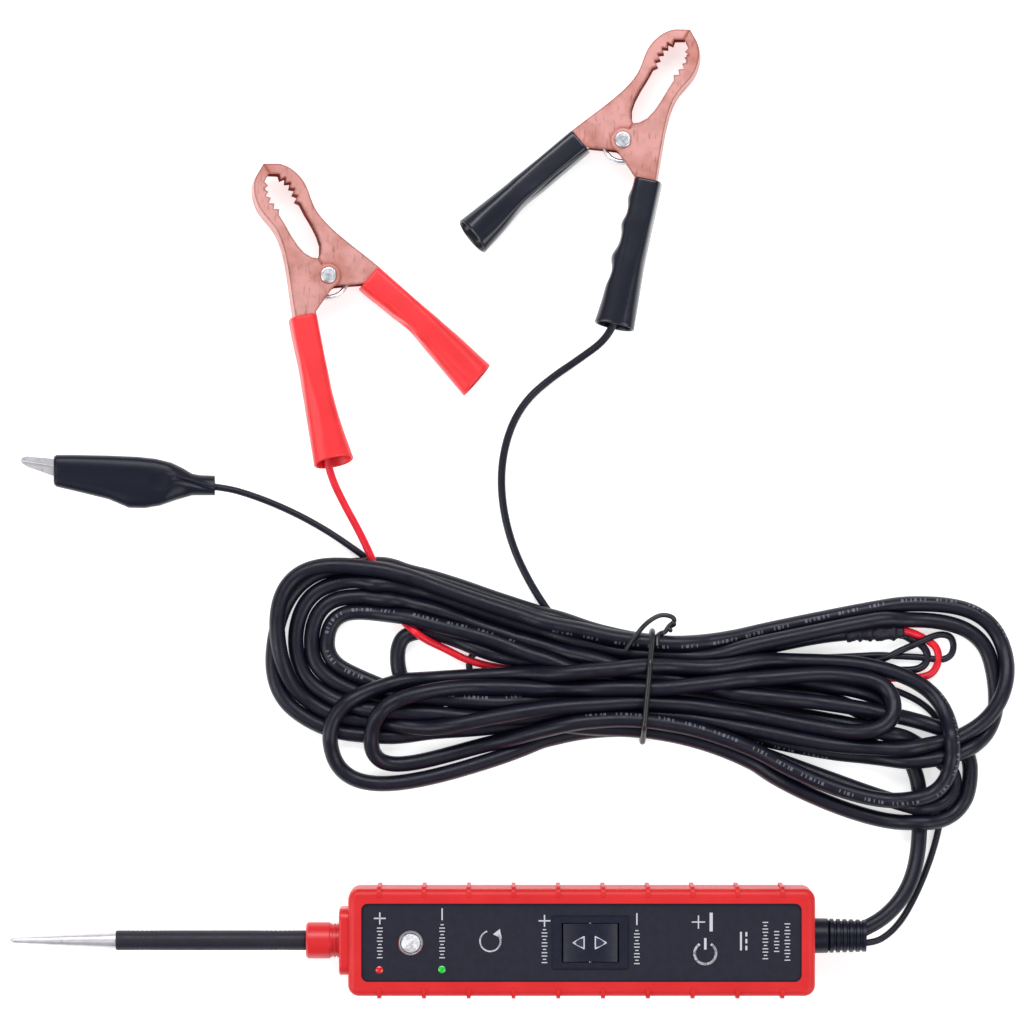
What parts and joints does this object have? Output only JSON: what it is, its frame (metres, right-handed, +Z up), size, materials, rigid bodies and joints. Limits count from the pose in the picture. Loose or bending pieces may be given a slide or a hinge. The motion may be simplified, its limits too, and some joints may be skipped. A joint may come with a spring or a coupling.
{
  "type": "circuit test light",
  "caption": "Handheld automotive circuit tester with a probe tip, rocker switch and lamp, on a tied power cord with copper battery clips and a lead with a crocodile clip.",
  "frame": {"origin": "under the middle of the tester's length, on the surface that it lies on", "axes": "+X along the tester from probe tip to strain relief, +Y across it towards the cord, +Z up"},
  "size_m": [0.4129, 0.3977, 0.0281],
  "materials": {
    "red_rubber": "satin",
    "red_plastic": "satin",
    "black_shell": "fine matt grain",
    "face_black": "fine matt grain",
    "black_gloss": "semi-gloss",
    "steel": "satin zinc",
    "nickel": "nickel plate, slightly worn",
    "chrome_ring": "bright",
    "brass": "satin",
    "shrink_black": "satin",
    "clear_lens": "clear, diffusing",
    "red_lens": "clear red",
    "green_lens": "clear green",
    "led_epoxy": "clear",
    "board_green": "solder mask",
    "copper": "dull copper plate",
    "red_vinyl": "glossy",
    "black_vinyl": "glossy",
    "cord_black": "satin",
    "wire_red": "satin",
    "black_rubber": "satin",
    "tie_black": "satin"
  },
  "bodies": {
    "root": {"aux_lead_end_tube": "cord_black", "aux_lead_tube": "cord_black", "back_shell": "black_shell", "black_clip_ferrule": "brass", "black_clip_jaw_outer": "copper", "black_clip_rivet": "steel", "black_clip_sleeve_outer": "black_vinyl", "black_clip_spring": "steel", "black_lead_tube": "cord_black", "buzzer": "black_shell", "case_screws": "steel", "circuit_board": "board_green", "circuit_breaker": "black_shell", "cord_split_sleeve": "shrink_black", "croc_boot": "black_rubber", "croc_jaw_fixed": "nickel", "croc_pin": "steel", "croc_spring": "steel", "face_plate": "face_black", "front_shell": "black_shell", "indicator_leds": "led_epoxy", "indicator_lens_green": "green_lens", "indicator_lens_red": "red_lens", "internal_wires": "wire_red", "lamp_bezel": "chrome_ring", "lamp_led": "led_epoxy", "lamp_lens": "clear_lens", "nose_bushing": "red_plastic", "power_cord_hank": "cord_black", "power_cord_tube": "cord_black", "probe_rod": "nickel", "probe_sleeve": "shrink_black", "probe_socket": "brass", "red_clip_ferrule": "brass", "red_clip_jaw_outer": "copper", "red_clip_rivet": "steel", "red_clip_sleeve_outer": "red_vinyl", "red_clip_spring": "steel", "red_lead_tube": "wire_red", "rocker_pin": "steel", "rubber_boot": "red_rubber", "strain_relief": "black_rubber", "switch_frame": "black_gloss", "switch_terminals": "brass", "twist_tie": "tie_black"},
    "rocker": {"switch_rocker": "black_gloss"},
    "red_jaw": {"red_clip_jaw_inner": "copper", "red_clip_sleeve_inner": "red_vinyl"},
    "black_jaw": {"black_clip_jaw_inner": "copper", "black_clip_sleeve_inner": "black_vinyl"},
    "croc_jaw": {"croc_jaw_moving": "nickel"}
  },
  "joints": [
    {"name": "rocker_tilt", "type": "hinge", "parent": "root", "child": "rocker", "pos_m": [0.06255, 0, 0.0252], "axis": [0, 1, 0], "range_deg": [-8, 8], "stiffness_Nm_per_rad": 0.05},
    {"name": "red_clip_open", "type": "hinge", "parent": "root", "child": "red_jaw", "pos_m": [-0.0457, 0.273, 0.0117], "axis": [-0.1205, -0.0696, -0.9903], "range_deg": [0, 35], "stiffness_Nm_per_rad": 0.5, "springref_deg": -17.19, "deforming": ["red_clip_spring"]},
    {"name": "black_clip_open", "type": "hinge", "parent": "root", "child": "black_jaw", "pos_m": [0.0766, 0.3289, 0.0097], "axis": [-0.0745, 0.0451, 0.9962], "range_deg": [0, 35], "stiffness_Nm_per_rad": 0.5, "springref_deg": -17.19, "deforming": ["black_clip_spring"]},
    {"name": "croc_open", "type": "hinge", "parent": "root", "child": "croc_jaw", "pos_m": [-0.137, 0.1912, 0.0058], "axis": [0, 0, 1], "range_deg": [0, 14], "stiffness_Nm_per_rad": 0.05, "springref_deg": -17.19, "deforming": ["croc_spring", "croc_boot"]}
  ]
}
